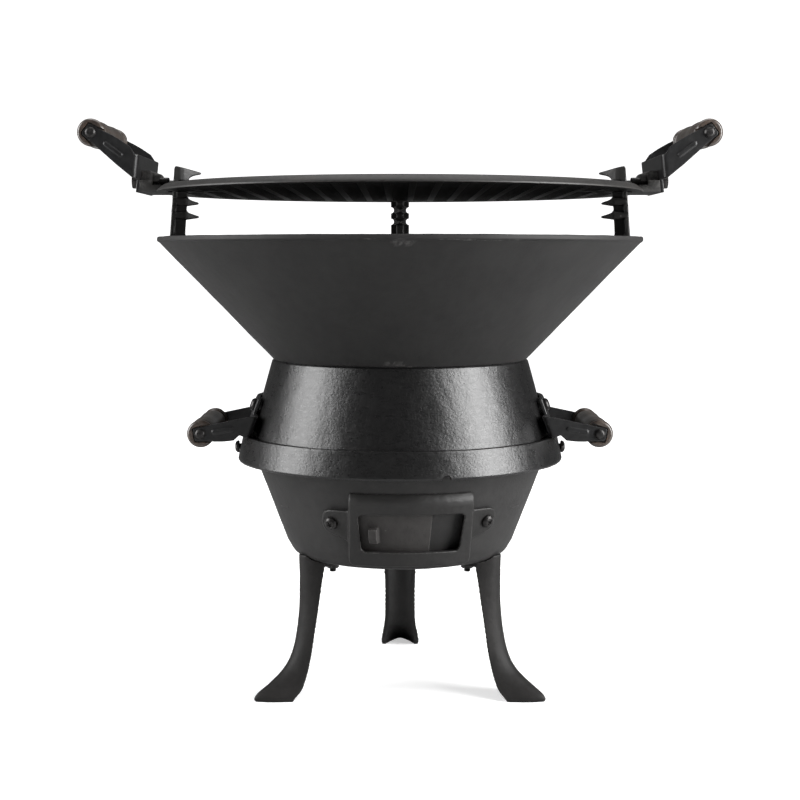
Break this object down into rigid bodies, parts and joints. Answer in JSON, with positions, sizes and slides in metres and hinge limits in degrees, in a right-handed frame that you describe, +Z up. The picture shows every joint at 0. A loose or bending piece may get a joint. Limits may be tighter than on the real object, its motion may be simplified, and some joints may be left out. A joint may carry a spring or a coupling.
{
  "type": "hibachi grill",
  "caption": "Round cast-iron charcoal hibachi on three legs: lower bowl with sliding air vent, body ring, wind cone with toothed posts, and a height-adjustable cooking grate with wooden grips.",
  "frame": {"origin": "on the floor, under the middle of the bowl", "axes": "+Z up; -Y is the front, where the air vent is; X runs through the side handles"},
  "size_m": [0.463, 0.3606, 0.423],
  "materials": {
    "cast_iron_matte": "matte black heat-resistant coating on sand-cast iron",
    "cast_iron_seasoned": "semi-gloss black over pitted sand casting",
    "vent_castings": "satin black casting",
    "post_casting": "satin black casting with worn edges",
    "black_strap": "satin black pressed steel strap",
    "dark_wood": "dark brown lacquered turned wood",
    "blackened_fastener": "blackened steel"
  },
  "bodies": {
    "base": {"lower_bowl": "cast_iron_matte", "leg_front_left": "cast_iron_matte", "leg_front_right": "cast_iron_matte", "leg_rear": "cast_iron_matte", "leg_bolts": "blackened_fastener", "leg_nuts": "blackened_fastener", "vent_frame": "vent_castings", "vent_frame_screws": "blackened_fastener", "vent_frame_nuts": "blackened_fastener", "body_ring": "cast_iron_seasoned", "flange_screws": "blackened_fastener", "side_handle_bracket_left": "black_strap", "side_handle_bracket_right": "black_strap", "side_handle_grip_left": "dark_wood", "side_handle_grip_right": "dark_wood", "side_handle_rod_left": "blackened_fastener", "side_handle_rod_right": "blackened_fastener", "side_handle_screws": "blackened_fastener", "side_handle_nuts": "blackened_fastener"},
    "damper": {"vent_damper": "vent_castings"},
    "coal_grate": {"charcoal_grate": "cast_iron_matte"},
    "cone": {"wind_cone": "cast_iron_matte", "grate_post_left": "post_casting", "grate_post_right": "post_casting", "grate_post_rear": "post_casting", "post_screws": "blackened_fastener"},
    "grate": {"cooking_grate": "cast_iron_matte", "grate_handle_bracket_left": "black_strap", "grate_handle_bracket_right": "black_strap", "grate_handle_grip_left": "dark_wood", "grate_handle_grip_right": "dark_wood", "grate_handle_rod_left": "blackened_fastener", "grate_handle_rod_right": "blackened_fastener", "grate_handle_bolts": "blackened_fastener", "grate_handle_nuts": "blackened_fastener"}
  },
  "joints": [
    {"name": "vent_slide", "type": "hinge", "parent": "base", "child": "damper", "pos_m": [0, 0, 0.13], "axis": [0, 0, 1], "range_deg": [-1.2, 16.5]},
    {"name": "coal_grate_lift", "type": "slide", "parent": "base", "child": "coal_grate", "axis": [0, 0, 1], "range_m": [0, 0.15]},
    {"name": "cone_lift", "type": "slide", "parent": "base", "child": "cone", "axis": [0, 0, 1], "range_m": [0, 0.12]},
    {"name": "grate_lift", "type": "slide", "parent": "cone", "child": "grate", "axis": [0, 0, 1], "range_m": [-0.0196, 0.1]}
  ]
}
